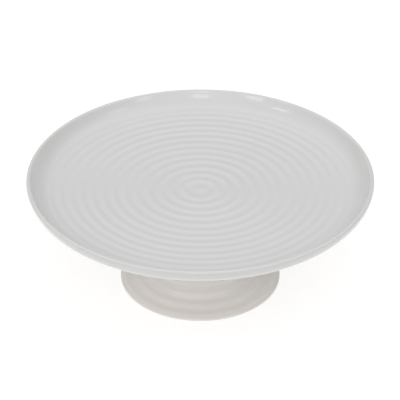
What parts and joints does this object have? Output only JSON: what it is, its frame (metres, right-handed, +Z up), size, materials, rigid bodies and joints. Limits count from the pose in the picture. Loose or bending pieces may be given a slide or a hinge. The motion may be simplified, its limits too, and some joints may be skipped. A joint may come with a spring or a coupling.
{
  "type": "cake stand",
  "caption": "White glazed porcelain cake stand: a wide round plate with concentric rings and an upturned rim on a low, hollow, flared foot.",
  "frame": {"origin": "centre of the circle that the foot stands on", "axes": "+Z up along the axis that the plate and the foot are turned about; the object is the same all round, so X and Y are any two horizontal directions"},
  "size_m": [0.32, 0.32, 0.114],
  "materials": {
    "plate_glaze": "gloss",
    "foot_glaze": "gloss",
    "slip_glaze": "gloss"
  },
  "bodies": {
    "root": {"plate": "plate_glaze", "foot": "foot_glaze", "joint_slip": "slip_glaze"}
  },
  "joints": []
}
